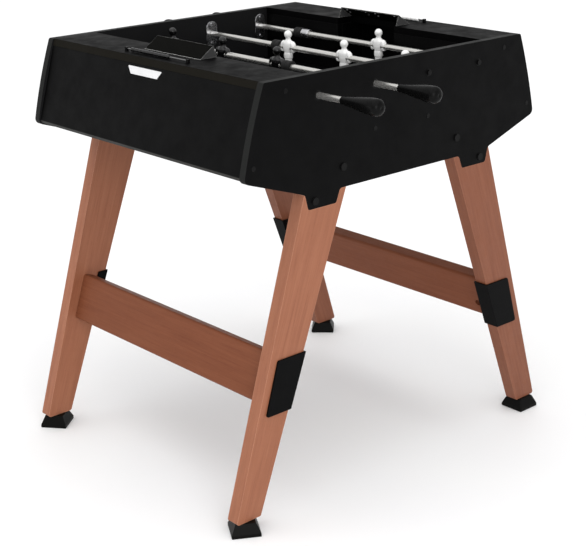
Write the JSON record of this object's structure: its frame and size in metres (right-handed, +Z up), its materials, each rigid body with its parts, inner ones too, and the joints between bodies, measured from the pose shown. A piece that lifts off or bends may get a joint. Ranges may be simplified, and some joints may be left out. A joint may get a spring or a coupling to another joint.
{
  "type": "foosball table",
  "caption": "Compact foosball table: black cabinet with flared ends, telescopic player rods, goal hoods and bead scorers, on splayed wooden legs joined by stretchers.",
  "frame": {"origin": "floor level, midway between the two goals and midway between the ends of the opposite handles", "axes": "+Z up, +X from the goal of the black players to the goal of the white players, +Y along the rods away from the black players' handles"},
  "size_m": [0.9426, 1.054, 0.9235],
  "materials": {
    "cabinet_board": "black laminated board, satin",
    "field_board": "dark laminated board, satin",
    "hood_plastic": "black moulded sheet, satin",
    "leg_wood": "stained solid wood, satin varnish",
    "black_fixings": "black zinc",
    "bracket_metal": "black powder coat, fine texture",
    "bright_metal": "satin steel",
    "rod_chrome": "bright chrome plate",
    "handle_plastic": "glossy black",
    "black_plastic": "glossy black",
    "white_plastic": "glossy white",
    "bumper_rubber": "black rubber",
    "bush_plastic": "black nylon",
    "foot_rubber": "black hard rubber"
  },
  "bodies": {
    "table": {"side_panel_near": "cabinet_board", "side_panel_far": "cabinet_board", "end_panel_a": "cabinet_board", "end_panel_b": "cabinet_board", "playfield": "field_board", "deck_cleats": "leg_wood", "deck_a": "cabinet_board", "deck_b": "cabinet_board", "goal_walls_a": "cabinet_board", "goal_walls_b": "cabinet_board", "goal_trays": "cabinet_board", "goal_hood_a": "hood_plastic", "goal_hood_b": "hood_plastic", "badge": "bright_metal", "scorer_rails": "bright_metal", "scorer_posts": "bush_plastic", "tube_bushes": "bush_plastic", "core_bushes": "bush_plastic", "rod_plates": "bright_metal", "panel_screws": "black_fixings", "trim_screws": "bright_metal", "leg_near_a": "leg_wood", "leg_near_b": "leg_wood", "leg_far_a": "leg_wood", "leg_far_b": "leg_wood", "leg_bolts": "black_fixings", "stretcher_a": "leg_wood", "stretcher_b": "leg_wood", "stretcher_bolts": "leg_wood", "barrel_nuts": "bright_metal", "leg_brackets": "bracket_metal", "foot_studs": "bright_metal"},
    "goalie_rod_core_black": {"core_goalie_black": "bright_metal"},
    "goalie_rod_black": {"tube_goalie_black": "rod_chrome", "handle_goalie_black": "handle_plastic", "goalie_black": "black_plastic", "stops_goalie_black": "bumper_rubber", "collars_goalie_black": "bright_metal"},
    "attack_rod_core_black": {"core_attack_black": "bright_metal"},
    "attack_rod_black": {"tube_attack_black": "rod_chrome", "handle_attack_black": "handle_plastic", "players_black": "black_plastic", "stops_attack_black": "bumper_rubber"},
    "goalie_rod_core_white": {"core_goalie_white": "bright_metal"},
    "goalie_rod_white": {"tube_goalie_white": "rod_chrome", "handle_goalie_white": "handle_plastic", "goalie_white": "white_plastic", "stops_goalie_white": "bumper_rubber", "collars_goalie_white": "bright_metal"},
    "attack_rod_core_white": {"core_attack_white": "bright_metal"},
    "attack_rod_white": {"tube_attack_white": "rod_chrome", "handle_attack_white": "handle_plastic", "players_white": "white_plastic", "stops_attack_white": "bumper_rubber"},
    "pad_near_a": {"foot_near_a": "foot_rubber"},
    "pad_near_b": {"foot_near_b": "foot_rubber"},
    "pad_far_a": {"foot_far_a": "foot_rubber"},
    "pad_far_b": {"foot_far_b": "foot_rubber"},
    "beads_a": {"scorer_beads_a": "black_plastic"},
    "beads_b": {"scorer_beads_b": "white_plastic"}
  },
  "joints": [
    {"name": "goalie_spin_black", "type": "hinge", "parent": "table", "child": "goalie_rod_core_black", "pos_m": [-0.228, 0, 0.857], "axis": [0, 1, 0], "continuous": true},
    {"name": "goalie_slide_black", "type": "slide", "parent": "goalie_rod_core_black", "child": "goalie_rod_black", "axis": [0, -1, 0], "range_m": [0, 0.132]},
    {"name": "attack_spin_black", "type": "hinge", "parent": "table", "child": "attack_rod_core_black", "pos_m": [-0.076, 0, 0.857], "axis": [0, 1, 0], "continuous": true},
    {"name": "attack_slide_black", "type": "slide", "parent": "attack_rod_core_black", "child": "attack_rod_black", "axis": [0, -1, 0], "range_m": [0, 0.226]},
    {"name": "goalie_spin_white", "type": "hinge", "parent": "table", "child": "goalie_rod_core_white", "pos_m": [0.228, 0, 0.857], "axis": [0, 1, 0], "continuous": true},
    {"name": "goalie_slide_white", "type": "slide", "parent": "goalie_rod_core_white", "child": "goalie_rod_white", "axis": [0, 1, 0], "range_m": [0, 0.132]},
    {"name": "attack_spin_white", "type": "hinge", "parent": "table", "child": "attack_rod_core_white", "pos_m": [0.076, 0, 0.857], "axis": [0, 1, 0], "continuous": true},
    {"name": "attack_slide_white", "type": "slide", "parent": "attack_rod_core_white", "child": "attack_rod_white", "axis": [0, 1, 0], "range_m": [0, 0.226]},
    {"name": "pad_swivel_near_a", "type": "hinge", "parent": "table", "child": "pad_near_a", "pos_m": [-0.429, -0.345, 0], "axis": [0, 0, 1], "continuous": true},
    {"name": "pad_swivel_near_b", "type": "hinge", "parent": "table", "child": "pad_near_b", "pos_m": [0.429, -0.345, 0], "axis": [0, 0, 1], "continuous": true},
    {"name": "pad_swivel_far_a", "type": "hinge", "parent": "table", "child": "pad_far_a", "pos_m": [-0.429, 0.345, 0], "axis": [0, 0, 1], "continuous": true},
    {"name": "pad_swivel_far_b", "type": "hinge", "parent": "table", "child": "pad_far_b", "pos_m": [0.429, 0.345, 0], "axis": [0, 0, 1], "continuous": true},
    {"name": "bead_slide_a", "type": "slide", "parent": "table", "child": "beads_a", "axis": [0, -1, 0], "range_m": [-0.0135, 0.0555]},
    {"name": "bead_slide_b", "type": "slide", "parent": "table", "child": "beads_b", "axis": [0, 1, 0], "range_m": [-0.0135, 0.0555]}
  ]
}
